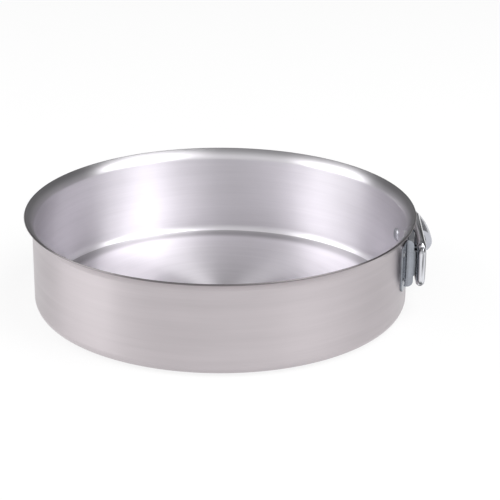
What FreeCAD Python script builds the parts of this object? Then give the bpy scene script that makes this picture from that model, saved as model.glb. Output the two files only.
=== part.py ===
import FreeCAD, Part
import math
import os
import Sketcher

# Opening cake tin: a flared aluminium ring, closed by a draw latch on its right side, round a pressed base.
# The origin is the centre of the face that the tin stands on. The latch is at +X, its hook towards -Y.
# All lengths are in millimetres and all angles in degrees.

DRIVING = [
    # Tin
    ("wall_radius", 130.0, "outer radius of the upright wall"),
    ("tin_height", 67.0, "from the table to the top of the lip"),
    ("tin_sheet", 1.2, "thickness of the ring"),
    ("lip_reach", 5.5, "how far the lip flares out past the wall"),
    ("lip_fold", 2.5, "outer radius of the fold where the lip leaves the wall"),
    ("lip_fold_turn", 25.0, "angle that this fold turns through"),
    ("lip_turn", 60.0, "angle between the lip's edge and the upright wall"),
    ("foot_radius", 8.0, "outer radius of the rounded foot"),
    ("foot_ledge", 4.0, "width of the flat ledge inside the foot"),
    ("joint_turn", 11.5, "how far the ring's joint lies towards -Y of the +X axis"),
    ("joint_gap", 0.8, "gap between the two ends of the band"),
    ("lap_near", 9.0, "length of the lap welded to the near end"),
    ("lap_far", 13.0, "length of the lap that runs on inside the far end"),
    ("lap_margin", 9.0, "height left free under the lap"),
    ("lap_top_margin", 2.25, "height left free between the lap and the lip"),
    ("lap_slack", 0.2, "clearance between the lap and the far end"),
    # Base
    ("tray_sheet", 1.2, "thickness of the base"),
    ("tray_slack", 0.15, "clearance between the base's rim and the wall"),
    ("tray_corner_slack", 0.2, "how much larger the base's corner radius is than the foot's inside"),
    ("tray_rim_turn", 40.0, "angle that the base's rim turns up through"),
    ("tray_step_slack", 0.6, "clearance between the sunk centre and the foot's ledge"),
    ("tray_step_run", 40.0, "length of the slope down to the sunk centre"),
    # Clasp as a whole
    ("clasp_drop", 2.655, "gap between the catch plate's top and the start of the lip"),
    ("clasp_height", 34.0, "height of the catch plate"),
    ("clasp_sheet", 1.2, "thickness of the steel of the bracket and lever"),
    ("running_fit", 0.06, "radial clearance of a pin or wire in its hole"),
    # Catch
    ("hook_sheet", 1.0, "thickness of the catch plate"),
    ("flange_along", 31.3, "where the flange stands, towards -Y of the +X axis"),
    ("catch_end", 43.8, "where the catch plate ends"),
    ("flange_out", 2.0, "how far the full flange stands out past the wall's tangent"),
    ("tongue_height", 17.0, "height of the hook's tongue"),
    ("hook_turn", 43.0, "angle that the hook turns through, round the back of the wire"),
    ("hook_slack", 0.45, "clearance between the wire and the hook"),
    ("root_bend", 1.0, "inner radius where the flange leaves the plate"),
    ("root_back_bend", 3.5, "radius of the back of that fold"),
    ("flange_corner", 4.0, "corner radius of the flange"),
    ("plate_corner", 3.5, "corner radius of the plates' free ends"),
    ("tongue_corner", 1.5, "radius between the flange and the tongue"),
    # Wire bail
    ("wire_radius", 3.1, "radius of the bail's wire"),
    ("wire_out", 6.85, "how far the hooked bar stands out past the wall's tangent"),
    ("bail_slack", 0.6, "clearance between the hinge pin's heads and the bail's arms"),
    ("bail_corner", 5.6, "bend radius at the hooked bar, to the wire's middle"),
    ("leg_bend", 4.4, "bend radius at the legs, to the wire's middle"),
    ("leg_inset", 1.1, "how far the legs reach in past the lever's flanges"),
    ("pivot_along", 26.5, "where the bail turns in the lever, towards +Y of the +X axis"),
    ("pivot_out", 7.9, "how far that pivot stands out past the wall's tangent"),
    # Hinge
    ("hinge_along", 16.5, "where the lever is hinged, towards +Y of the +X axis"),
    ("hinge_out", 9.2, "how far the hinge stands out past the wall's tangent"),
    ("pin_radius", 2.0, "radius of the hinge pin"),
    ("pin_head_radius", 3.4, "radius of the pin's heads"),
    ("pin_head_height", 1.2, "height of the pin's heads"),
    ("pin_end_slack", 0.3, "clearance between the pin's heads and the lever"),
    ("ear_radius", 3.6, "radius of the bracket's ears round the pin"),
    ("ear_slack", 0.7, "clearance between the ears and the lever's flanges"),
    ("ear_front", 14.6, "where the ears' front edge meets the plate"),
    ("ear_back", 22.5, "where the ears' back edge meets the plate"),
    ("ear_fillet", 1.0, "radius between the ears and the plate"),
    ("bracket_front", -2.0, "where the bracket's plate starts"),
    ("bracket_back", 38.0, "where the bracket's plate ends"),
    ("bracket_height", 22.0, "height of the bracket's plate"),
    # Lever
    ("lever_height", 17.0, "outer height of the lever's channel"),
    ("ridge_radius", 150.0, "radius of the lever's ridge, seen from above"),
    ("ridge_apex_along", 18.0, "where the ridge stands out furthest"),
    ("ridge_apex_out", 19.0, "how far it stands out there past the wall's tangent"),
    ("mouth_along", 9.5, "where the lever's mouth is"),
    ("mouth_edge_out", 6.0, "where the flanges' edge starts at the mouth"),
    ("mouth_corner", 2.5, "corner radius of the flanges at the mouth"),
    ("lobe_wall", 2.4, "metal left round the hinge and pivot holes"),
    ("heel_along", 33.0, "where the flanges come closest to the bracket"),
    ("heel_slack", 0.5, "gap left under the flanges there"),
    ("heel_radius", 4.0, "radius of the flanges' heel"),
    ("heel_turn", 45.0, "angle that the heel turns through on each side"),
    ("tip_along", 55.0, "where the lever ends"),
    ("tip_depth", 4.0, "depth of the channel at the tip"),
    ("tip_radius", 5.0, "radius of the tip's corner"),
    ("mouth_lip", 4.1, "depth of the crescent lip that is folded in at the mouth"),
    # Rivets
    ("rivet_radius", 2.0, "radius of the rivets' shanks"),
    ("rivet_fit", 0.03, "radial clearance of a rivet in its hole"),
    ("inner_head_radius", 5.0, "radius of the heads inside the tin"),
    ("inner_head_height", 1.8, "height of the heads inside the tin"),
    ("outer_head_radius", 2.8, "radius of the heads outside"),
    ("outer_head_height", 0.9, "height of the heads outside"),
    ("catch_rivet_along", 39.9, "where the catch's rivets are"),
    ("catch_rivet_inset", 7.0, "how far the catch's rivets are from the plate's top and bottom"),
    ("front_rivet_along", 3.6, "where the bracket's front rivet is"),
    ("back_rivet_along", 28.6, "where the bracket's back rivet is"),
    ("bracket_rivet_drop", 2.0, "how far the bracket's rivets lie below the clasp's middle"),
]

document = FreeCAD.newDocument("OpeningCakeTin")
sheet = document.addObject("Spreadsheet::Sheet", "Sizes")
for row, (alias, value, meaning) in enumerate(DRIVING, start=1):
    sheet.set(f"A{row}", str(value))
    sheet.set(f"B{row}", meaning)
    sheet.setAlias(f"A{row}", alias)
document.recompute()


class Size:
    """A number together with the expression over the sheet that gives it."""

    def __init__(self, number, text):
        self.number = float(number)
        self.text = text

    def __add__(self, other):
        other = sized(other)
        return Size(self.number + other.number, f"({self.text} + {other.text})")

    def __radd__(self, other):
        return sized(other) + self

    def __sub__(self, other):
        other = sized(other)
        return Size(self.number - other.number, f"({self.text} - {other.text})")

    def __rsub__(self, other):
        return sized(other) - self

    def __mul__(self, other):
        other = sized(other)
        return Size(self.number * other.number, f"({self.text} * {other.text})")

    def __rmul__(self, other):
        return sized(other) * self

    def __truediv__(self, other):
        other = sized(other)
        return Size(self.number / other.number, f"({self.text} / {other.text})")

    def __rtruediv__(self, other):
        return sized(other) / self

    def __neg__(self):
        return Size(-self.number, f"(0 - {self.text})")


def sized(value):
    return value if isinstance(value, Size) else Size(value, repr(float(value)))


def size(alias):
    return Size(getattr(sheet, alias), f"Sizes.{alias}")


def root(value):
    return Size(math.sqrt(value.number), f"sqrt({value.text})")


def sine(angle):
    return Size(math.sin(math.radians(angle.number)), f"sin({angle.text} * 1 deg)")


def cosine(angle):
    return Size(math.cos(math.radians(angle.number)), f"cos({angle.text} * 1 deg)")


def arc_sine(value):
    """Angle in degrees, as a plain number."""
    return Size(math.degrees(math.asin(value.number)), f"(asin({value.text}) / 1 deg)")


def across(radius, along):
    """Distance from the axis, along X, of the circle's point that lies along from it in Y."""
    return root(radius * radius - along * along)


# Sketches

class Line:
    """Straight edge to a point."""

    def __init__(self, x, y):
        self.x = sized(x)
        self.y = sized(y)


class Arc:
    """Arc to a point, which turns left when left is true."""

    def __init__(self, x, y, radius, left):
        self.x = sized(x)
        self.y = sized(y)
        self.radius = sized(radius)
        self.left = left


def plane_of(body, role):
    return next(item for item in body.Origin.OriginFeatures if item.Role == role)


def new_sketch(body, name, role, offset=None):
    """Sketch on one of the body's own planes, lifted off it by offset along the plane's normal."""
    sketch = body.newObject("Sketcher::SketchObject", name)
    sketch.AttachmentSupport = [(plane_of(body, role), "")]
    sketch.MapMode = "FlatFace"
    if offset is not None:
        sketch.AttachmentOffset = FreeCAD.Placement(
            FreeCAD.Vector(0, 0, offset.number), FreeCAD.Rotation()
        )
        sketch.setExpression("AttachmentOffset.Base.z", offset.text)
    return sketch


def bind(sketch, constraint, value):
    index = sketch.addConstraint(constraint)
    sketch.setExpression(f"Constraints[{index}]", value.text)


def pin_point(sketch, edge, point, x, y):
    bind(sketch, Sketcher.Constraint("DistanceX", edge, point, x.number), x)
    bind(sketch, Sketcher.Constraint("DistanceY", edge, point, y.number), y)


def arc_edge(start, step):
    """Arc of under half a turn from start to the step's point."""
    end = FreeCAD.Vector(step.x.number, step.y.number, 0)
    chord = end - start
    middle = (start + end) * 0.5
    rise = math.sqrt(max(step.radius.number ** 2 - (chord.Length / 2) ** 2, 0.0))
    side = FreeCAD.Vector(-chord.y, chord.x, 0).normalize()
    centre = middle + side * (rise if step.left else -rise)
    circle = Part.Circle(centre, FreeCAD.Vector(0, 0, 1), step.radius.number)
    begin = math.atan2(start.y - centre.y, start.x - centre.x)
    finish = math.atan2(end.y - centre.y, end.x - centre.x)
    if not step.left:
        begin, finish = finish, begin
    if finish < begin:
        finish += 2 * math.pi
    return Part.ArcOfCircle(circle, begin, finish)


def draw(sketch, steps, closed=True):
    """Outline whose first step is its start; each corner is pinned to its place."""
    first = sketch.GeometryCount
    start = FreeCAD.Vector(steps[0].x.number, steps[0].y.number, 0)
    place = start
    path = list(steps[1:])
    if closed:
        path.append(steps[0])
    for step in path:
        target = FreeCAD.Vector(step.x.number, step.y.number, 0)
        if isinstance(step, Arc):
            edge = sketch.addGeometry(arc_edge(place, step), False)
            ends = (1, 2) if step.left else (2, 1)
        else:
            edge = sketch.addGeometry(Part.LineSegment(place, target), False)
            ends = (1, 2)
        if edge == first:
            first_ends = ends
            if not closed:
                pin_point(sketch, edge, ends[0], steps[0].x, steps[0].y)
        else:
            sketch.addConstraint(Sketcher.Constraint("Coincident", last_edge, last_ends[1], edge, ends[0]))
        pin_point(sketch, edge, ends[1], step.x, step.y)
        if isinstance(step, Arc):
            bind(sketch, Sketcher.Constraint("Radius", edge, step.radius.number), step.radius)
        last_edge = edge
        last_ends = ends
        place = target
    if closed:
        sketch.addConstraint(Sketcher.Constraint("Coincident", last_edge, last_ends[1], first, first_ends[0]))


def draw_circle(sketch, x, y, radius):
    centre = FreeCAD.Vector(x.number, y.number, 0)
    circle = Part.Circle(centre, FreeCAD.Vector(0, 0, 1), radius.number)
    edge = sketch.addGeometry(circle, False)
    pin_point(sketch, edge, 3, x, y)
    bind(sketch, Sketcher.Constraint("Radius", edge, radius.number), radius)


# Features

def new_body(name):
    body = document.addObject("PartDesign::Body", name)
    body.Label = name
    return body


def move(body, x, y, z):
    """Places the body's own origin in the tin's frame."""
    body.Placement.Base = FreeCAD.Vector(x.number, y.number, z.number)
    body.setExpression("Placement.Base.x", x.text)
    body.setExpression("Placement.Base.y", y.text)
    body.setExpression("Placement.Base.z", z.text)


def turned_about_axis(turn):
    """Offset that turns an upright sketch plane about the tin's axis, towards -Y."""
    return FreeCAD.Placement(
        FreeCAD.Vector(), FreeCAD.Rotation(FreeCAD.Vector(0, 1, 0), -turn.number)
    )


def revolve(body, name, sketch, angle=360.0):
    feature = body.newObject("PartDesign::Revolution", name)
    feature.Profile = sketch
    feature.ReferenceAxis = (sketch, ["V_Axis"])
    angle = sized(angle)
    feature.Angle = angle.number
    feature.setExpression("Angle", angle.text)
    return feature


def pad(body, name, sketch, length):
    feature = body.newObject("PartDesign::Pad", name)
    feature.Profile = sketch
    feature.Length = length.number
    feature.setExpression("Length", length.text)
    return feature


def pocket(body, name, sketch, length):
    """Cut that runs to both sides of its sketch, and has to take metal away."""
    document.recompute()
    before = body.Shape.Volume
    feature = body.newObject("PartDesign::Pocket", name)
    feature.Profile = sketch
    feature.Midplane = True
    feature.Length = length.number
    feature.setExpression("Length", length.text)
    document.recompute()
    if not body.Shape.Volume < before - 1e-3:
        raise RuntimeError(f"{name} cuts nothing")
    return feature


def rectangle(left, low, right, high):
    return [Line(left, low), Line(right, low), Line(right, high), Line(left, high)]


# Values that several pieces share

inner_radius = size("wall_radius") - size("tin_sheet")
foot_inside = size("foot_radius") - size("tin_sheet")
foot_middle = size("wall_radius") - size("foot_radius")
clasp_reach = size("wall_radius") + size("ridge_apex_out")
through = 4 * clasp_reach
fold_cosine = cosine(size("lip_fold_turn"))
fold_sine = sine(size("lip_fold_turn"))
fold_reach = size("lip_fold") * (1 - fold_cosine)
edge_cosine = cosine(size("lip_turn"))
edge_sine = sine(size("lip_turn"))
lip_bend = (size("lip_reach") - fold_reach) / (fold_cosine - edge_cosine)
lip_rise = size("lip_fold") * fold_sine + lip_bend * (edge_sine - fold_sine) + size("tin_sheet") * edge_sine
lip_start = size("tin_height") - lip_rise
clasp_level = lip_start - size("clasp_drop") - size("clasp_height") / 2
steel_radius = size("wall_radius") + size("clasp_sheet")
catch_radius = size("wall_radius") + size("hook_sheet")
half_clasp = size("clasp_height") / 2
half_lever = size("lever_height") / 2
flange_inside = half_lever - size("clasp_sheet")
ear_outside = flange_inside - size("ear_slack")
hook_front = size("flange_along") + size("hook_sheet")
hook_bend = size("wire_radius") + size("hook_slack")
wire_along = hook_front + hook_bend
wire_x = size("wall_radius") + size("wire_out")
pivot_x = size("wall_radius") + size("pivot_out")
hinge_x = size("wall_radius") + size("hinge_out")
bracket_rivet_level = clasp_level - size("bracket_rivet_drop")
rivet_hole = size("rivet_radius") + size("rivet_fit")
catch_rivet_rise = half_clasp - size("catch_rivet_inset")
pin_reach = half_lever + size("pin_end_slack")

# Each rivet: name, place along Y, height, radius of the face that its outer head sits on
RIVETS = [
    ("catch_rivet_upper", -size("catch_rivet_along"),
     clasp_level + catch_rivet_rise, catch_radius),
    ("catch_rivet_lower", -size("catch_rivet_along"),
     clasp_level - catch_rivet_rise, catch_radius),
    ("bracket_rivet_front", size("front_rivet_along"), bracket_rivet_level, steel_radius),
    ("bracket_rivet_back", size("back_rivet_along"), bracket_rivet_level, steel_radius),
]


def drill(body, name, along, level):
    """Hole for a rivet, square to the wall where the rivet stands."""
    turn = math.degrees(math.asin(along.number / size("wall_radius").number))
    bit = body.newObject("PartDesign::SubtractiveCylinder", name)
    bit.Radius = rivet_hole.number
    bit.setExpression("Radius", rivet_hole.text)
    length = clasp_reach - foot_middle
    bit.Height = length.number
    bit.setExpression("Height", length.text)
    bit.AttachmentSupport = [(plane_of(body, "XY_Plane"), "")]
    bit.MapMode = "FlatFace"
    spin = FreeCAD.Rotation(FreeCAD.Vector(0, 0, 1), turn)
    lay = FreeCAD.Rotation(FreeCAD.Vector(0, 1, 0), 90)
    base = spin.multVec(FreeCAD.Vector(foot_middle.number, 0, level.number))
    bit.AttachmentOffset = FreeCAD.Placement(base, spin * lay)
    return bit


# Ring

def make_ring_band():
    """Flared wall with a rounded foot, split at the joint and lapped on the inside."""
    body = new_body("ring_band")
    wall = size("wall_radius")
    sheet_metal = size("tin_sheet")
    fold_level = lip_start + size("lip_fold") * fold_sine
    edge = wall + size("lip_reach")
    ledge_end = foot_middle - size("foot_ledge")
    profile = new_sketch(body, "ring_profile", "XZ_Plane")
    draw(profile, [
        Line(ledge_end, 0),
        Line(foot_middle, 0),
        Arc(wall, size("foot_radius"), size("foot_radius"), True),
        Line(wall, lip_start),
        Arc(wall + fold_reach, fold_level, size("lip_fold"), False),
        Arc(edge, size("tin_height") - sheet_metal * edge_sine, lip_bend, False),
        Line(edge - sheet_metal * edge_cosine, size("tin_height")),
        Arc(wall + fold_reach - sheet_metal * fold_cosine, fold_level + sheet_metal * fold_sine,
            lip_bend + sheet_metal, True),
        Arc(inner_radius, lip_start, size("lip_fold") + sheet_metal, True),
        Line(inner_radius, size("foot_radius")),
        Arc(foot_middle, sheet_metal, foot_inside, False),
        Line(ledge_end, sheet_metal),
    ])
    revolve(body, "ring_turned", profile)

    slit = new_sketch(body, "joint_slit", "XY_Plane")
    slit.AttachmentOffset = FreeCAD.Placement(
        FreeCAD.Vector(), FreeCAD.Rotation(FreeCAD.Vector(0, 0, 1), -size("joint_turn").number)
    )
    draw(slit, rectangle(ledge_end / 2, -(size("joint_gap") / 2), clasp_reach, size("joint_gap") / 2))
    pocket(body, "joint_cut", slit, through)

    lap_outside = inner_radius - size("lap_slack")
    lap_inside = lap_outside - sheet_metal
    degrees_per_length = 180 / (math.pi * inner_radius)
    near_turn = size("lap_near") * degrees_per_length
    far_turn = size("lap_far") * degrees_per_length
    gap_turn = size("joint_gap") * degrees_per_length
    low = size("lap_margin")
    high = lip_start - size("lap_top_margin")
    start_turn = size("joint_turn") + near_turn
    lap = new_sketch(body, "lap_profile", "XZ_Plane")
    lap.AttachmentOffset = turned_about_axis(start_turn)
    draw(lap, rectangle(lap_inside, low, lap_outside, high))
    revolve(body, "lap_strip", lap, near_turn + far_turn)
    weld = new_sketch(body, "weld_profile", "XZ_Plane")
    weld.AttachmentOffset = turned_about_axis(start_turn)
    draw(weld, rectangle(lap_outside - sheet_metal / 2, low, inner_radius + sheet_metal / 2, high))
    revolve(body, "lap_weld", weld, near_turn - gap_turn)

    for name, along, level, _ in RIVETS:
        drill(body, f"hole_for_{name}", along, level)
    return body


# Base

def make_base_tray():
    """Pressed disc with a turned-up rim, sunk inside the foot's ledge so that it stands on the table."""
    body = new_body("base_tray")
    metal = size("tray_sheet")
    floor = size("tin_sheet")
    bend = foot_inside + size("tray_corner_slack")
    bend_inside = bend - metal
    bend_middle = inner_radius - size("tray_slack") - bend
    bend_level = floor + bend
    rim_sine = sine(size("tray_rim_turn"))
    rim_cosine = cosine(size("tray_rim_turn"))
    step_outer = foot_middle - size("foot_ledge") - size("tray_step_slack")
    step_inner = step_outer - size("tray_step_run")
    profile = new_sketch(body, "tray_profile", "XZ_Plane")
    draw(profile, [
        Line(0, 0),
        Line(step_inner, 0),
        Line(step_outer, floor),
        Line(bend_middle, floor),
        Arc(bend_middle + bend * rim_sine, bend_level - bend * rim_cosine, bend, True),
        Line(bend_middle + bend_inside * rim_sine, bend_level - bend_inside * rim_cosine),
        Arc(bend_middle, floor + metal, bend_inside, False),
        Line(step_outer, floor + metal),
        Line(step_inner, metal),
        Line(0, metal),
    ])
    revolve(body, "tray_turned", profile)
    return body


# Catch

def make_catch_plate():
    """Curved plate whose end is folded out into a flange, and on into a hook for the wire."""
    body = new_body("catch_plate")
    move(body, sized(0), sized(0), clasp_level)
    metal = size("hook_sheet")
    bend = size("root_bend")
    outer_bend = bend + metal
    wall = size("wall_radius")
    outside = catch_radius
    root_along = hook_front + bend
    hook_back = hook_bend + metal
    hook_sine = sine(size("hook_turn"))
    hook_cosine = cosine(size("hook_turn"))
    plan = new_sketch(body, "catch_plan", "XY_Plane", -half_clasp)
    draw(plan, [
        Arc(across(wall, size("catch_end")), -size("catch_end"), wall, False),
        Line(across(outside, size("catch_end")), -size("catch_end")),
        Arc(across(outside, root_along), -root_along, outside, True),
        Arc(across(outside, root_along) + bend, -hook_front, bend, False),
        Line(wire_x, -hook_front),
        Arc(wire_x + hook_bend * hook_sine, hook_bend * hook_cosine - wire_along, hook_bend, False),
        Line(wire_x + hook_back * hook_sine, hook_back * hook_cosine - wire_along),
        Arc(wire_x, -size("flange_along"), hook_back, True),
        Line(across(wall, root_along) + outer_bend, -size("flange_along")),
        Arc(across(wall, root_along), -root_along, size("root_back_bend"), True),
    ])
    pad(body, "catch_folded", plan, size("clasp_height"))

    half_tongue = size("tongue_height") / 2
    flange_end = wall + size("flange_out")
    corner = size("flange_corner")
    notch = size("tongue_corner")
    for name, side in (("upper", 1), ("lower", -1)):
        turn_left = side < 0
        trim = new_sketch(body, f"tongue_trim_{name}", "XZ_Plane")
        draw(trim, [
            Line(clasp_reach, side * half_tongue),
            Line(clasp_reach, side * (half_clasp + corner)),
            Line(flange_end - corner, side * (half_clasp + corner)),
            Line(flange_end - corner, side * half_clasp),
            Arc(flange_end, side * (half_clasp - corner), corner, turn_left),
            Line(flange_end, side * (half_tongue + notch)),
            Arc(flange_end + notch, side * half_tongue, notch, not turn_left),
        ])
        pocket(body, f"tongue_side_{name}", trim, through)
    round_ends(body, -size("catch_end"), size("plate_corner"), half_clasp, -1)
    for name, along, level, _ in RIVETS[:2]:
        drill(body, f"hole_for_{name}", along, level - clasp_level)
    return body


def round_ends(body, end, corner, half_height, way):
    """Rounds the two corners of a plate whose end is at the given Y, with way as the sign of that end."""
    for name, side in (("upper", 1), ("lower", -1)):
        sketch = new_sketch(body, f"corner_{name}", "YZ_Plane")
        draw(sketch, [
            Line(end + way, side * (half_height + corner)),
            Line(end - way * corner, side * (half_height + corner)),
            Line(end - way * corner, side * half_height),
            Arc(end, side * (half_height - corner), corner, way * side < 0),
            Line(end + way, side * (half_height - corner)),
        ])
        pocket(body, f"corner_cut_{name}", sketch, through)


# Hinge bracket and pin

def make_hinge_bracket():
    """Curved plate with two ears folded out of it, which carry the hinge pin."""
    body = new_body("hinge_bracket")
    move(body, sized(0), sized(0), clasp_level)
    wall = size("wall_radius")
    front = size("bracket_front")
    back = size("bracket_back")
    half_height = size("bracket_height") / 2
    plan = new_sketch(body, "plate_plan", "XY_Plane", -half_height)
    draw(plan, [
        Arc(across(wall, front), front, wall, False),
        Line(across(steel_radius, front), front),
        Arc(across(steel_radius, back), back, steel_radius, True),
        Line(across(wall, back), back),
    ])
    pad(body, "plate", plan, size("bracket_height"))
    along = size("hinge_along")
    lobe = size("ear_radius")
    middle_radius = wall + size("clasp_sheet") / 2
    for name, low in (("upper", ear_outside - size("clasp_sheet")), ("lower", -ear_outside)):
        ear = new_sketch(body, f"ear_{name}", "XY_Plane", low)
        draw(ear, [
            Arc(across(middle_radius, size("ear_front")), size("ear_front"), middle_radius, False),
            Line(hinge_x, along - lobe),
            Arc(hinge_x + lobe, along, lobe, True),
            Arc(hinge_x, along + lobe, lobe, True),
            Line(across(middle_radius, size("ear_back")), size("ear_back")),
        ])
        pad(body, f"ear_pad_{name}", ear, size("clasp_sheet"))
    bore = new_sketch(body, "pin_hole", "XY_Plane")
    draw_circle(bore, hinge_x, along, size("pin_radius") + size("rivet_fit"))
    pocket(body, "pin_bore", bore, through)
    round_ends(body, back, size("plate_corner"), half_height, 1)
    for name, rivet_along, level, _ in RIVETS[2:]:
        drill(body, f"hole_for_{name}", rivet_along, level - clasp_level)
    fillet_edges(body, "ear_roots", size("ear_fillet"), is_ear_root)
    return body


def is_ear_root(edge):
    """True for the edges where an ear's flat faces leave the curved plate."""
    if not isinstance(edge.Curve, Part.Circle):
        return False
    if abs(edge.Curve.Radius - steel_radius.number) > 1e-3:
        return False
    offset = abs(edge.CenterOfMass.z - clasp_level.number)
    inner = abs(offset - (ear_outside - size("clasp_sheet")).number) < 1e-3
    outer = abs(offset - ear_outside.number) < 1e-3
    return inner or outer


def fillet_edges(body, name, radius, wanted):
    document.recompute()
    tip = body.Tip
    names = [f"Edge{index}" for index, edge in enumerate(body.Shape.Edges, start=1) if wanted(edge)]
    if not names:
        raise RuntimeError(f"{name} finds no edge")
    feature = body.newObject("PartDesign::Fillet", name)
    feature.Base = (tip, names)
    feature.Radius = radius.number
    feature.setExpression("Radius", radius.text)
    return feature


def domed_pin(name, shank, low, high, low_head, high_head):
    """Turned pin along Z, with a domed head at each end, given as (radius, height)."""
    body = new_body(name)
    profile = new_sketch(body, f"{name}_profile", "XZ_Plane")
    low_radius, low_height = low_head
    high_radius, high_height = high_head
    draw(profile, [
        Line(0, low - low_height),
        Arc(low_radius, low, dome_radius(low_radius, low_height), True),
        Line(shank, low),
        Line(shank, high),
        Line(high_radius, high),
        Arc(0, high + high_height, dome_radius(high_radius, high_height), True),
    ])
    revolve(body, f"{name}_turned", profile)
    return body


def dome_radius(radius, height):
    return (radius * radius + height * height) / (2 * height)


def make_hinge_pin():
    head = (size("pin_head_radius"), size("pin_head_height"))
    body = domed_pin("hinge_pin", size("pin_radius"), -pin_reach, pin_reach, head, head)
    move(body, hinge_x, size("hinge_along"), clasp_level)
    return body


def make_rivet(name, along, level, seat_radius):
    """Rivet square to the wall: a wide head inside the tin, a small one outside."""
    head = size("inner_head_radius")
    inner_seat = across(inner_radius, head)
    body = domed_pin(
        name, size("rivet_radius"), inner_seat, seat_radius,
        (head, size("inner_head_height")), (size("outer_head_radius"), size("outer_head_height")),
    )
    turn = arc_sine(along / size("wall_radius"))
    spin = FreeCAD.Rotation(FreeCAD.Vector(0, 0, 1), turn.number)
    lay = FreeCAD.Rotation(FreeCAD.Vector(0, 1, 0), 90)
    body.Placement = FreeCAD.Placement(FreeCAD.Vector(0, 0, level.number), spin * lay)
    body.setExpression("Placement.Base.z", level.text)
    return body


# Lever

def make_lever():
    """Arched channel that follows the tin, with a hole for the pin and one for the wire in each flange."""
    body = new_body("lever")
    ridge = size("ridge_radius")
    middle_x = size("wall_radius") + size("ridge_apex_out") - ridge
    middle_y = size("ridge_apex_along")
    move(body, middle_x, middle_y, clasp_level)
    metal = size("clasp_sheet")
    arch = ridge - half_lever
    flange_root = arch - size("ridge_apex_out") - size("pivot_out")
    section = new_sketch(body, "channel_section", "XZ_Plane")
    degrees_per_length = 180 / (math.pi * ridge)
    spare_turn = 2 * middle_y * degrees_per_length
    section.AttachmentOffset = turned_about_axis(spare_turn)
    draw(section, [
        Line(flange_root, -half_lever),
        Line(arch, -half_lever),
        Arc(ridge, 0, half_lever, True),
        Arc(arch, half_lever, half_lever, True),
        Line(flange_root, half_lever),
        Line(flange_root, flange_inside),
        Line(arch, flange_inside),
        Arc(ridge - metal, 0, flange_inside, False),
        Arc(arch, -flange_inside, flange_inside, False),
        Line(flange_root, -flange_inside),
    ])
    channel_run = size("tip_along") + middle_y + half_lever
    revolve(body, "channel", section, channel_run * degrees_per_length)

    def local(along, out):
        return size("wall_radius") + out - middle_x, along - middle_y

    beyond = ridge + half_lever
    mouth = size("mouth_along") - middle_y
    tip = size("tip_along") - middle_y
    corner = size("mouth_corner")
    heel = size("heel_radius")
    heel_out = across(steel_radius, size("heel_along")) - size("wall_radius") + size("heel_slack")
    heel_run = heel * sine(size("heel_turn"))
    heel_rise = heel - heel * cosine(size("heel_turn"))
    hinge_edge = size("hinge_out") - size("pin_radius") - size("lobe_wall")
    pivot_edge = size("pivot_out") - size("wire_radius") - size("lobe_wall")
    tip_edge = across(ridge, tip) - size("tip_depth")
    edge_x, _ = local(size("mouth_along"), size("mouth_edge_out"))
    trim = new_sketch(body, "flange_outline", "XY_Plane")
    spare = 3 * middle_y
    draw(trim, rectangle(flange_root - spare, -spare, beyond + half_lever, tip + spare))
    draw(trim, [
        Line(beyond, tip),
        Line(beyond, mouth),
        Line(edge_x + corner, mouth),
        Arc(edge_x, mouth + corner, corner, False),
        Line(*local(size("hinge_along"), hinge_edge)),
        Line(*local(size("pivot_along"), pivot_edge)),
        Line(*local(size("heel_along") - heel_run, heel_out + heel_rise)),
        Arc(*local(size("heel_along") + heel_run, heel_out + heel_rise), heel, False),
        Line(tip_edge, tip - size("tip_radius")),
        Arc(tip_edge + size("tip_radius"), tip, size("tip_radius"), False),
    ])
    pocket(body, "flanges_trimmed", trim, through)

    bores = new_sketch(body, "lever_holes", "XY_Plane")
    hinge_hole = size("pin_radius") + size("running_fit")
    pivot_hole = size("wire_radius") + size("running_fit")
    draw_circle(bores, *local(size("hinge_along"), size("hinge_out")), hinge_hole)
    draw_circle(bores, *local(size("pivot_along"), size("pivot_out")), pivot_hole)
    pocket(body, "lever_bores", bores, through)

    lip_root = half_lever - metal / 2
    bow_rise = half_lever - size("mouth_lip")
    lip_bow = (lip_root * lip_root + bow_rise * bow_rise) / (2 * bow_rise)
    lip_middle = across(ridge, mouth) - half_lever
    lip = new_sketch(body, "mouth_lip_outline", "XZ_Plane", -(mouth + metal))
    draw(lip, [
        Arc(lip_middle, -lip_root, lip_bow, False),
        Arc(lip_middle + lip_root, 0, lip_root, True),
        Arc(lip_middle, lip_root, lip_root, True),
    ])
    pad(body, "mouth_lip", lip, metal)
    return body


def sweep(body, name, section, path):
    feature = body.newObject("PartDesign::AdditivePipe", name)
    feature.Profile = section
    feature.Spine = (path, [f"Edge{index}" for index in range(1, path.GeometryCount + 1)])
    return feature


# Wire bail

def make_wire_bail():
    """Wire bent into a loop; its two legs turn in the lever's flanges and its far bar sits in the hook."""
    body = new_body("wire_bail")
    reach_x = wire_x - pivot_x
    reach_y = wire_along + size("pivot_along")
    length = root(reach_x * reach_x + reach_y * reach_y)
    half = pin_reach + size("pin_head_height") + size("bail_slack") + size("wire_radius")
    leg_end = flange_inside - size("leg_inset")
    corner = size("bail_corner")
    bend = size("leg_bend")
    path = new_sketch(body, "wire_path", "XZ_Plane")
    draw(path, [
        Line(0, -leg_end),
        Line(0, bend - half),
        Arc(bend, -half, bend, True),
        Line(length - corner, -half),
        Arc(length, corner - half, corner, True),
        Line(length, half - corner),
        Arc(length - corner, half, corner, True),
        Line(bend, half),
        Arc(0, half - bend, bend, True),
        Line(0, leg_end),
    ], False)
    section = new_sketch(body, "wire_section", "XY_Plane", -leg_end)
    draw_circle(section, sized(0), sized(0), size("wire_radius"))
    sweep(body, "bent_wire", section, path)
    body.Placement.Rotation = FreeCAD.Rotation(
        FreeCAD.Vector(0, 0, 1), math.degrees(math.atan2(-reach_y.number, reach_x.number))
    )
    move(body, pivot_x, size("pivot_along"), clasp_level)
    return body


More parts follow.
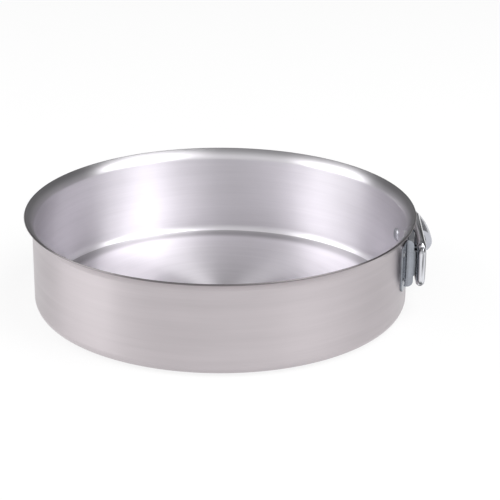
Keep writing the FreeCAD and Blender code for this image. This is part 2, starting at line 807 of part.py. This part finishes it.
MAKERS = [
    make_ring_band,
    make_base_tray,
    make_catch_plate,
    make_hinge_bracket,
    make_hinge_pin,
    make_lever,
    make_wire_bail,
]
pieces = [make() for make in MAKERS]
pieces += [make_rivet(*rivet) for rivet in RIVETS]
document.recompute()

for item in document.Objects:
    if "Invalid" in item.State or "Error" in item.State:
        raise RuntimeError(f"{item.Name} is {item.State}")
os.makedirs("parts", exist_ok=True)
for body in pieces:
    if body.Shape.isNull() or not body.Shape.isValid():
        raise RuntimeError(f"{body.Label} has no valid shape")
    box = body.Shape.optimalBoundingBox(False)
    corners = [round(value, 2) for value in (box.XMin, box.YMin, box.ZMin, box.XMax, box.YMax, box.ZMax)]
    print(body.Label, round(body.Shape.Volume, 1), len(body.Shape.Solids), corners)
    body.Shape.exportStep(f"parts/{body.Label}.step")
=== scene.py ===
import math

import bmesh
import bpy
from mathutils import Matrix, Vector


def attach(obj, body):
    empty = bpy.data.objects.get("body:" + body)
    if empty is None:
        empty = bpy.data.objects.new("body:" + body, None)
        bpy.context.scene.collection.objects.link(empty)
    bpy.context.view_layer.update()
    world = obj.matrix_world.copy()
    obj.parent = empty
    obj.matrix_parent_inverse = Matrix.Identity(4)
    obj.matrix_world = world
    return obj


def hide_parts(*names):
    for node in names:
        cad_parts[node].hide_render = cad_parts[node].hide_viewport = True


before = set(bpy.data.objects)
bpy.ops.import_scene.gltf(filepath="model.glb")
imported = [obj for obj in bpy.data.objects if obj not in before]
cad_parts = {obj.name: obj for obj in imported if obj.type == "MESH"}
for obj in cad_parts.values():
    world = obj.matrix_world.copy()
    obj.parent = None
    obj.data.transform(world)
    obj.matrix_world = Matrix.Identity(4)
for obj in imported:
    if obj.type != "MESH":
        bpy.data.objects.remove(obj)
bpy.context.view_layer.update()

MM = 0.001
FULL_TURN = 2 * math.pi
WHITE = (1, 1, 1, 1)

# Sizes of the ring and the base as the source gives them, in millimetres and radians
WALL_RADIUS = 130.0
TIN_HEIGHT = 67.0
TIN_SHEET = 1.2
LIP_REACH = 5.5
LIP_FOLD = 2.5
LIP_FOLD_TURN = math.radians(25.0)
LIP_TURN = math.radians(60.0)
FOOT_RADIUS = 8.0
FOOT_LEDGE = 4.0
JOINT_TURN = math.radians(11.5)
JOINT_GAP = 0.8
LAP_NEAR = 9.0
LAP_FAR = 13.0
LAP_MARGIN = 9.0
LAP_TOP_MARGIN = 2.25
LAP_SLACK = 0.2
TRAY_SHEET = 1.2
TRAY_SLACK = 0.15
TRAY_CORNER_SLACK = 0.2
TRAY_RIM_TURN = math.radians(40.0)
TRAY_STEP_SLACK = 0.6
TRAY_STEP_RUN = 40.0

# Sizes that follow from them
INNER_RADIUS = WALL_RADIUS - TIN_SHEET
FOOT_INSIDE = FOOT_RADIUS - TIN_SHEET
FOOT_MIDDLE = WALL_RADIUS - FOOT_RADIUS
FOLD_REACH = LIP_FOLD * (1 - math.cos(LIP_FOLD_TURN))
LIP_BEND = (LIP_REACH - FOLD_REACH) / (math.cos(LIP_FOLD_TURN) - math.cos(LIP_TURN))
LIP_RISE = (
    LIP_FOLD * math.sin(LIP_FOLD_TURN)
    + LIP_BEND * (math.sin(LIP_TURN) - math.sin(LIP_FOLD_TURN))
    + TIN_SHEET * math.sin(LIP_TURN)
)
LIP_START = TIN_HEIGHT - LIP_RISE

# Rounding of cut edges, in millimetres
SHEET_EDGE = 0.35
LAP_EDGE = 0.2
PLATE_EDGE = 0.25
PLATE_EDGE_SEGMENTS = 2

# A rounded corner takes at most this share of a side, and its curve has points at these places
CORNER_SHARE = 0.45
CORNER_PLACES = (0.0, 0.33, 0.67, 1.0)

# How finely the turned pieces are divided
RING_COUNT = 540
LAP_COUNT = 24
TRAY_COUNT = 360
FOOT_COUNT = 20
LEDGE_COUNT = 3
WALL_COUNT = 14
FOLD_COUNT = 8
LIP_COUNT = 12
RIM_COUNT = 12
FLAT_COUNT = 24
STEP_COUNT = 32
TURN_TOLERANCE = 1e-9

# Points nearer to each other than this, in metres, become one
MERGE_REACH = 1e-6

# Smooth shading stops at the first angle, and the plates' edges are rounded from the second
CREASE = math.radians(35.0)
SHARP = math.radians(40.0)


# Outlines

def arc(middle, radius, start, end, count):
    """Points on an arc in the plane of radius and height, angles in degrees, both ends included."""
    points = []
    for i in range(count + 1):
        a = math.radians(start + (end - start) * i / count)
        points.append((middle[0] + radius * math.cos(a), middle[1] + radius * math.sin(a)))
    return points


def line(start, end, count):
    """Points on a straight line, without its ends."""
    return [
        (start[0] + (end[0] - start[0]) * i / count, start[1] + (end[1] - start[1]) * i / count)
        for i in range(1, count)
    ]


def softened(points, corners, size):
    """The outline with the numbered corners cut by a small curve."""
    result = []
    for i, point in enumerate(points):
        if i not in corners:
            result.append(point)
            continue
        p = Vector(point)
        before = Vector(points[i - 1]) - p
        after = Vector(points[(i + 1) % len(points)]) - p
        reach = min(size, before.length * CORNER_SHARE, after.length * CORNER_SHARE)
        a = p + before.normalized() * reach
        b = p + after.normalized() * reach
        for t in CORNER_PLACES:
            q = a * (1 - t) ** 2 + p * 2 * t * (1 - t) + b * t ** 2
            result.append((q.x, q.y))
    return result


def ring_outline():
    """Closed outline of the ring's sheet, from the ledge's inner edge outwards."""
    turn = math.degrees(LIP_TURN)
    fold_turn = math.degrees(LIP_FOLD_TURN)
    fold = (WALL_RADIUS + LIP_FOLD, LIP_START)
    fold_end = (WALL_RADIUS + FOLD_REACH, LIP_START + LIP_FOLD * math.sin(LIP_FOLD_TURN))
    lip = (
        fold_end[0] + LIP_BEND * math.cos(LIP_FOLD_TURN),
        fold_end[1] - LIP_BEND * math.sin(LIP_FOLD_TURN),
    )
    foot = (FOOT_MIDDLE, FOOT_RADIUS)
    points = [(FOOT_MIDDLE - FOOT_LEDGE, 0.0)]
    points += line(points[-1], (FOOT_MIDDLE, 0.0), LEDGE_COUNT)
    points += arc(foot, FOOT_RADIUS, -90, 0, FOOT_COUNT)
    points += line(points[-1], (WALL_RADIUS, LIP_START), WALL_COUNT)
    points += arc(fold, LIP_FOLD, 180, 180 - fold_turn, FOLD_COUNT)
    points += arc(lip, LIP_BEND, 180 - fold_turn, 180 - turn, LIP_COUNT)[1:]
    points += arc(lip, LIP_BEND + TIN_SHEET, 180 - turn, 180 - fold_turn, LIP_COUNT)
    points += arc(fold, LIP_FOLD + TIN_SHEET, 180 - fold_turn, 180, FOLD_COUNT)[1:]
    points += line(points[-1], (INNER_RADIUS, FOOT_RADIUS), WALL_COUNT)
    points += arc(foot, FOOT_INSIDE, 0, -90, FOOT_COUNT)
    points += line(points[-1], (FOOT_MIDDLE - FOOT_LEDGE, TIN_SHEET), LEDGE_COUNT)
    points.append((FOOT_MIDDLE - FOOT_LEDGE, TIN_SHEET))
    edge = [i for i, p in enumerate(points) if p[0] > WALL_RADIUS + LIP_REACH - TIN_SHEET]
    top = max(edge, key=lambda i: points[i][1])
    out = max(edge, key=lambda i: points[i][0])
    return softened(points, [0, len(points) - 1, top, out], SHEET_EDGE)


def tray_outline():
    """Open outline of the base, from the middle below outwards and back to the middle above."""
    bend = FOOT_INSIDE + TRAY_CORNER_SLACK
    middle = (INNER_RADIUS - TRAY_SLACK - bend, TIN_SHEET + bend)
    rim = math.degrees(TRAY_RIM_TURN) - 90
    step_outer = FOOT_MIDDLE - FOOT_LEDGE - TRAY_STEP_SLACK
    step_inner = step_outer - TRAY_STEP_RUN
    below = [(step_inner * i / FLAT_COUNT, 0.0) for i in range(FLAT_COUNT)]
    for i in range(STEP_COUNT + 1):
        t = i / STEP_COUNT
        below.append((step_inner + TRAY_STEP_RUN * t, TIN_SHEET * t * t * (3 - 2 * t)))
    above = [(r, z + TRAY_SHEET) for r, z in reversed(below)]
    below += arc(middle, bend, -90, rim, RIM_COUNT)
    upper = arc(middle, bend - TRAY_SHEET, rim, -90, RIM_COUNT)
    points = below + upper + above
    return softened(points, [len(below) - 1, len(below)], SHEET_EDGE)


def lap_outline():
    """Closed outline of the strip that lies behind the joint."""
    outside = INNER_RADIUS - LAP_SLACK
    inside = outside - TIN_SHEET
    high = LIP_START - LAP_TOP_MARGIN
    corners = [(inside, LAP_MARGIN), (outside, LAP_MARGIN), (outside, high), (inside, high)]
    return softened(corners, [0, 1, 2, 3], LAP_EDGE)


# Meshes

def turned(outline, start, end, count, closed):
    """Turns an outline in millimetres about the upright axis; a part turn gets its two end faces."""
    bm = bmesh.new()
    whole = abs(end - start) > FULL_TURN - TURN_TOLERANCE
    rings = []
    for i in range(count + (0 if whole else 1)):
        a = start + (end - start) * i / count
        rings.append([
            bm.verts.new((r * MM * math.cos(a), r * MM * math.sin(a), z * MM)) for r, z in outline
        ])
    last = len(outline) if closed else len(outline) - 1
    for one, other in zip(rings, rings[1:] + ([rings[0]] if whole else [])):
        for j in range(last):
            k = (j + 1) % len(outline)
            bm.faces.new([one[j], other[j], other[k], one[k]])
    if not whole:
        bm.faces.new(rings[0])
        bm.faces.new(list(reversed(rings[-1])))
    return bm


def finish_mesh(name, bm, material, body, node=None):
    """Makes the piece of a bmesh, shades it smooth up to the crease angle and puts it on its body."""
    bmesh.ops.remove_doubles(bm, verts=bm.verts, dist=MERGE_REACH)
    bmesh.ops.recalc_face_normals(bm, faces=bm.faces)
    mesh = bpy.data.meshes.new(name)
    bm.to_mesh(mesh)
    bm.free()
    mesh.materials.append(material)
    mesh.polygons.foreach_set("use_smooth", [True] * len(mesh.polygons))
    mesh.set_sharp_from_angle(angle=CREASE)
    piece = bpy.data.objects.new(name, mesh)
    bpy.context.scene.collection.objects.link(piece)
    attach(piece, body)
    if node:
        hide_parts(node)


# Materials

NOISE_ROUGHNESS = 0.55

# Places of the colour sockets on a Mix node, whose other sockets have the same names
MIX_A = 6
MIX_B = 7
MIX_RESULT = 2


class Nodes:
    """Short way to add and join the nodes of one material or world."""

    def __init__(self, owner):
        owner.use_nodes = True
        self.tree = owner.node_tree
        self.tree.nodes.clear()

    def add(self, kind, inputs=None, **settings):
        node = self.tree.nodes.new(kind)
        for key, value in settings.items():
            setattr(node, key, value)
        for key, value in (inputs or {}).items():
            self.put(node, key, value)
        return node

    def put(self, node, key, value):
        socket = node.inputs[key]
        if isinstance(value, bpy.types.NodeSocket):
            self.tree.links.new(value, socket)
        elif isinstance(value, bpy.types.Node):
            self.tree.links.new(value.outputs[0], socket)
        else:
            socket.default_value = value

    def maths(self, operation, a, b, clamp=False):
        node = self.add("ShaderNodeMath", {0: a, 1: b}, operation=operation, use_clamp=clamp)
        return node.outputs[0]

    def times(self, a, b):
        return self.maths("MULTIPLY", a, b)

    def vector(self, operation, a, b=(0, 0, 0)):
        node = self.add("ShaderNodeVectorMath", {0: a, 1: b}, operation=operation)
        return node.outputs["Value" if operation in ("LENGTH", "DOT_PRODUCT") else "Vector"]

    def scaled(self, colour, factor):
        node = self.add("ShaderNodeVectorMath", {0: colour, "Scale": factor}, operation="SCALE")
        return node.outputs["Vector"]

    def noise(self, vector, scale, detail, roughness=NOISE_ROUGHNESS):
        node = self.add("ShaderNodeTexNoise", {
            "Vector": vector, "Scale": scale, "Detail": detail, "Roughness": roughness,
        }, noise_dimensions="3D")
        return node.outputs["Fac"]

    def spread(self, value, low, high, to_low, to_high, kind="LINEAR"):
        node = self.add("ShaderNodeMapRange", {
            "Value": value, "From Min": low, "From Max": high, "To Min": to_low, "To Max": to_high,
        }, interpolation_type=kind)
        return node.outputs[0]

    def mixed(self, factor, a, b):
        node = self.add("ShaderNodeMix", {0: factor, MIX_A: a, MIX_B: b}, data_type="RGBA")
        return node.outputs[MIX_RESULT]


# Range of a noise's middle values, which the patches and marks are drawn from
MIDDLE = (0.35, 0.65)

# Marks that the spindle left: changes round the axis, changes across it per metre, detail
FINE_MARKS = (3.0, 1500.0, 2.0)
BROAD_MARKS = (0.8, 170.0, 3.0)
MARKS_ROUGHNESS = 0.65
MARKS_DEPTH = 0.00001
MARKS_STRENGTH = 0.5

# Soft clouds in the aluminium: scale, detail
CLOUDS = (18.0, 2.0)

# Shares of the marks and clouds in the relief and in the tone
RELIEF_FINE = 0.75
RELIEF_BROAD = 0.25
TONE_FINE = 0.2
TONE_BROAD = 0.5
TONE_CLOUDS = 0.3

# What the tone does to brightness and roughness, at the low and the high end
TONE_CHANGE = (0.955, 1.04)
ROUGH_CHANGE = (1.06, 0.94)

# The highlight is drawn out across the marks, a quarter turn from the tangent
HIGHLIGHT_TURN = 0.25

# Radii in metres between which the colour darkens, and how dark: the cut edge is simply darker, while the
# darkening on the lip and the base's rim is painted shade
CUT_EDGE = (0.1342, 0.1350, 1.0, 0.35)
LIP_SHADE = (0.1290, 0.1330, 1.0, 0.62)
RIM_SHADE = (0.1130, 0.1215, 1.0, 0.60)

# How far a face looks outwards, and its share of the outside's darker colour, which is painted shade
OUTER_FACING = (0.2, 0.4, 0.0, 1.0)


def brushed_aluminium(name, outside, inside, roughness, anisotropic, shade_radii):
    """Aluminium turned on a spindle: fine marks run round the tin's axis on wall and base alike."""
    material = bpy.data.materials.new(name)
    n = Nodes(material)
    place = n.add("ShaderNodeTexCoord").outputs["Object"]
    x, y, z = n.add("ShaderNodeSeparateXYZ", {0: place}).outputs
    flat = n.add("ShaderNodeCombineXYZ", {0: x, 1: y})
    way = n.vector("NORMALIZE", flat)
    radius = n.vector("LENGTH", flat)
    run = n.maths("ADD", radius, z)
    way_x, way_y, _ = n.add("ShaderNodeSeparateXYZ", {0: way}).outputs

    def marks(around, across, detail):
        """Noise drawn out round the axis: few changes around it, many across."""
        drawn_out = n.add("ShaderNodeCombineXYZ", {
            0: n.times(way_x, around), 1: n.times(way_y, around), 2: n.times(run, across),
        })
        return n.noise(drawn_out, 1.0, detail, MARKS_ROUGHNESS)

    fine = marks(*FINE_MARKS)
    broad = marks(*BROAD_MARKS)
    clouds = n.noise(place, *CLOUDS)
    height = n.maths("ADD", n.times(fine, RELIEF_FINE), n.times(broad, RELIEF_BROAD))
    relief = n.add("ShaderNodeBump", {
        "Strength": MARKS_STRENGTH, "Distance": MARKS_DEPTH, "Height": height,
    })
    tone = n.maths("ADD", n.times(broad, TONE_BROAD), n.times(clouds, TONE_CLOUDS))
    tone = n.maths("ADD", tone, n.times(fine, TONE_FINE))

    facing = n.vector("DOT_PRODUCT", n.add("ShaderNodeNewGeometry").outputs["True Normal"], way)
    outside_shade_mask = n.spread(facing, *OUTER_FACING)
    # Outward faces take the darker outside colour: painted shade
    colour = n.mixed(outside_shade_mask, inside, outside)
    # Painted shade on the inward faces of the lip and of the base's rim, by radius
    rim_shade = n.maths("MAXIMUM", outside_shade_mask, n.spread(radius, *shade_radii, "SMOOTHSTEP"))
    level = n.times(n.spread(tone, *MIDDLE, *TONE_CHANGE), n.times(n.spread(radius, *CUT_EDGE), rim_shade))
    rough = n.spread(tone, *MIDDLE, *(roughness * change for change in ROUGH_CHANGE))
    shader = n.add("ShaderNodeBsdfPrincipled", {
        "Base Color": n.scaled(colour, level), "Metallic": 1.0, "Roughness": rough, "Normal": relief,
        "Anisotropic": anisotropic, "Anisotropic Rotation": HIGHLIGHT_TURN,
        "Tangent": n.add("ShaderNodeTangent", direction_type="RADIAL", axis="Z"),
    })
    n.add("ShaderNodeOutputMaterial", {"Surface": shader})
    return material


# Noises of the plating: scale, detail
PATCHES = (140.0, 3.0)
PITS = (2600.0, 2.0)
STREAKS = (520.0, 2.0)
PIT_DEPTH = 0.00002
PLATED_ROUGH_CHANGE = (1.15, 0.9)

# Painted shade where two faces meet: reach in metres, range of the open share, brightness, rays
SHADE_REACH = 0.005
SHADE_RANGE = (0.5, 0.85)
SHADE_DARK = 0.06
SHADE_RAYS = 8

# The wire's bar stands upright in front of this place along Y, in metres, and its arms lie behind it
BAR_RANGE = (-0.0335, -0.0325, 1.0, 0.0)
STREAK_STRETCH = 0.04
STREAK_RANGE = (0.40, 0.56)


def streaks(n, place):
    """Drawing marks along the wire, whose dark streaks also stand in for painted reflection streaks:
    upright on its bar, lengthwise on its arms.
    """
    x, y, z = n.add("ShaderNodeSeparateXYZ", {0: place}).outputs
    bar = n.spread(y, *BAR_RANGE)
    along = n.add("ShaderNodeCombineXYZ", {
        0: x,
        1: n.times(y, n.spread(bar, 0.0, 1.0, STREAK_STRETCH, 1.0)),
        2: n.times(z, n.spread(bar, 0.0, 1.0, 1.0, STREAK_STRETCH)),
    })
    return n.noise(along, *STREAKS)


def zinc_plate(name, colour, roughness, patches, pits, drawn=0.0):
    """Bright zinc on steel: soft patches, fine pits, painted shade in the folds, and marks along a drawn
    wire that also stand in for painted reflection streaks.
    """
    material = bpy.data.materials.new(name)
    n = Nodes(material)
    place = n.add("ShaderNodeTexCoord").outputs["Object"]
    cloud = n.noise(place, *PATCHES)
    grain = n.noise(place, *PITS)
    dark = tuple(c * (1 - patches) for c in colour[:3]) + (1.0,)
    tone = n.mixed(n.spread(cloud, *MIDDLE, 0.0, 1.0), dark, colour)
    if drawn:
        # Dark streaks along the wire: drawing marks, and also painted reflection streaks
        tone = n.scaled(tone, n.spread(streaks(n, place), *STREAK_RANGE, 1.0 - drawn, 1.0))
    # Painted shade: the tone darkens where little of the surroundings is open around the surface
    sky = n.add("ShaderNodeAmbientOcclusion", {"Distance": SHADE_REACH}, samples=SHADE_RAYS)
    tone = n.scaled(tone, n.spread(sky.outputs["AO"], *SHADE_RANGE, SHADE_DARK, 1.0))
    shader = n.add("ShaderNodeBsdfPrincipled", {
        "Base Color": tone,
        "Metallic": 1.0,
        "Roughness": n.spread(cloud, *MIDDLE, *(roughness * change for change in PLATED_ROUGH_CHANGE)),
        "Normal": n.add("ShaderNodeBump", {"Strength": pits, "Distance": PIT_DEPTH, "Height": grain}),
    })
    n.add("ShaderNodeOutputMaterial", {"Surface": shader})
    return material


# Aluminium: the outside a darker copy of the same metal as painted shade, brighter inside, and the base
SHADED_OUTSIDE = (0.555, 0.513, 0.532, 1)
BRIGHT = (0.775, 0.757, 0.790, 1)
FLAT = (0.785, 0.758, 0.798, 1)
ALUMINIUM_WALL = brushed_aluminium(
    "aluminium_wall_finish", SHADED_OUTSIDE, BRIGHT, roughness=0.37, anisotropic=0.88, shade_radii=LIP_SHADE,
)
ALUMINIUM_BASE = brushed_aluminium(
    "aluminium_base_finish", FLAT, FLAT, roughness=0.40, anisotropic=0.90, shade_radii=RIM_SHADE,
)

# Plated steel
PLATE = zinc_plate(
    "plated_plate_finish", (0.36, 0.38, 0.42, 1), roughness=0.24, patches=0.10, pits=0.25,
)
LEVER = zinc_plate(
    "plated_lever_finish", (0.56, 0.57, 0.62, 1), roughness=0.22, patches=0.10, pits=0.25,
)
WIRE = zinc_plate(
    "plated_wire_finish", (0.74, 0.75, 0.79, 1), roughness=0.10, patches=0.08, pits=0.15, drawn=0.84,
)
RIVET = zinc_plate(
    "rivet_steel_finish", (0.42, 0.43, 0.46, 1), roughness=0.27, patches=0.10, pits=0.25,
)


# Ring and base

half_gap = JOINT_GAP / 2 / WALL_RADIUS
band = turned(
    ring_outline(), -JOINT_TURN + half_gap, FULL_TURN - JOINT_TURN - half_gap, RING_COUNT, True,
)
finish_mesh("ring_wall", band, ALUMINIUM_WALL, "tin", "ring_band")

strip = turned(
    lap_outline(), -JOINT_TURN - LAP_NEAR / INNER_RADIUS, -JOINT_TURN + LAP_FAR / INNER_RADIUS,
    LAP_COUNT, True,
)
finish_mesh("joint_lap", strip, ALUMINIUM_WALL, "tin")

disc = turned(tray_outline(), 0.0, FULL_TURN, TRAY_COUNT, False)
finish_mesh("base_disc", disc, ALUMINIUM_BASE, "tin", "base_tray")


# Clasp

FINISHES = {
    "catch_plate": PLATE, "hinge_bracket": PLATE, "lever": LEVER, "wire_bail": WIRE,
    "hinge_pin": RIVET, "catch_rivet_upper": RIVET, "catch_rivet_lower": RIVET,
    "bracket_rivet_front": RIVET, "bracket_rivet_back": RIVET,
}
for node, finish in FINISHES.items():
    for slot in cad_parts[node].material_slots:
        slot.material = finish

for node in ("catch_plate", "hinge_bracket", "lever"):
    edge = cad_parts[node].modifiers.new("rounded_edges", "BEVEL")
    edge.width = PLATE_EDGE * MM
    edge.segments = PLATE_EDGE_SEGMENTS
    edge.limit_method = "ANGLE"
    edge.angle_limit = SHARP
    edge.harden_normals = True


# Floor

FLOOR_REACH = 40.0
FLOOR_SEGMENTS = 8
FLOOR_DROP = 0.0002
FLOOR_COLOUR = (0.93, 0.93, 0.93, 1)
FLOOR_WHITE = 0.8


def make_floor():
    """Plain white floor that keeps a faint shadow of the tin."""
    bm = bmesh.new()
    bmesh.ops.create_grid(
        bm, x_segments=FLOOR_SEGMENTS, y_segments=FLOOR_SEGMENTS, size=FLOOR_REACH,
    )
    mesh = bpy.data.meshes.new("studio_floor")
    bm.to_mesh(mesh)
    bm.free()
    floor = bpy.data.objects.new("studio_floor", mesh)
    floor.location.z = -FLOOR_DROP
    bpy.context.scene.collection.objects.link(floor)
    material = bpy.data.materials.new("studio_floor_finish")
    n = Nodes(material)
    lit = n.add("ShaderNodeBsdfDiffuse", {"Color": FLOOR_COLOUR})
    white = n.add("ShaderNodeEmission", {"Color": WHITE, "Strength": 1.0})
    path = n.add("ShaderNodeLightPath").outputs
    seen = n.maths("ADD", path["Is Camera Ray"], path["Is Glossy Ray"])
    seen = n.maths("ADD", seen, path["Is Transmission Ray"], clamp=True)
    mix = n.add("ShaderNodeMixShader", {0: n.times(seen, FLOOR_WHITE), 1: lit, 2: white})
    n.add("ShaderNodeOutputMaterial", {"Surface": mix})
    mesh.materials.append(material)


make_floor()


# Studio

BRIGHT_WAY = (-0.4, -1.0, 0.2)
BRIGHT_RANGE = (-0.3, 0.9)
DARK_SIDE = 0.24
BRIGHT_SIDE = 0.85
LAMP_TARGET = (0, 0, 0.03)


def make_world():
    """Studio room: pale on the camera's side, dark behind the tin."""
    world = bpy.data.worlds.new("studio")
    bpy.context.scene.world = world
    n = Nodes(world)
    way = n.add("ShaderNodeTexCoord").outputs["Generated"]
    rise = n.vector("DOT_PRODUCT", way, BRIGHT_WAY)
    level = n.spread(rise, *BRIGHT_RANGE, DARK_SIDE, BRIGHT_SIDE, "SMOOTHSTEP")
    back = n.add("ShaderNodeBackground", {"Color": WHITE, "Strength": level})
    n.add("ShaderNodeOutputWorld", {"Surface": back})


def make_lamp(name, location, size, power):
    """Softbox that looks at the tin."""
    data = bpy.data.lights.new(name, "AREA")
    data.shape = "RECTANGLE"
    data.size, data.size_y = size
    data.energy = power
    lamp = bpy.data.objects.new(name, data)
    lamp.location = location
    way = Vector(LAMP_TARGET) - Vector(location)
    lamp.rotation_euler = way.to_track_quat("-Z", "Y").to_euler()
    bpy.context.scene.collection.objects.link(lamp)


make_world()
make_lamp("left_softbox", location=(-1.4, -0.12, 0.8), size=(1.3, 1.4), power=14.5)
make_lamp("right_softbox", location=(0.93, -0.4, 1.23), size=(1.25, 1.6), power=20.5)


# Camera

CAMERA_DISTANCE = 1.335
CAMERA_ELEVATION = math.radians(23.0)
CAMERA_SENSOR = 36.0
CAMERA_LENS = 136.1
CAMERA_SHIFT = (0.0597, 0.0969)


def make_camera():
    """Looks at the middle of the face that the tin stands on."""
    data = bpy.data.cameras.new("camera")
    data.sensor_width = CAMERA_SENSOR
    data.lens = CAMERA_LENS
    data.shift_x, data.shift_y = CAMERA_SHIFT
    camera = bpy.data.objects.new("camera", data)
    camera.location = (
        0.0,
        -CAMERA_DISTANCE * math.cos(CAMERA_ELEVATION),
        CAMERA_DISTANCE * math.sin(CAMERA_ELEVATION),
    )
    camera.rotation_euler = (math.radians(90.0) - CAMERA_ELEVATION, 0.0, 0.0)
    bpy.context.scene.collection.objects.link(camera)
    bpy.context.scene.camera = camera


make_camera()
bpy.context.scene.view_settings.view_transform = "Standard"
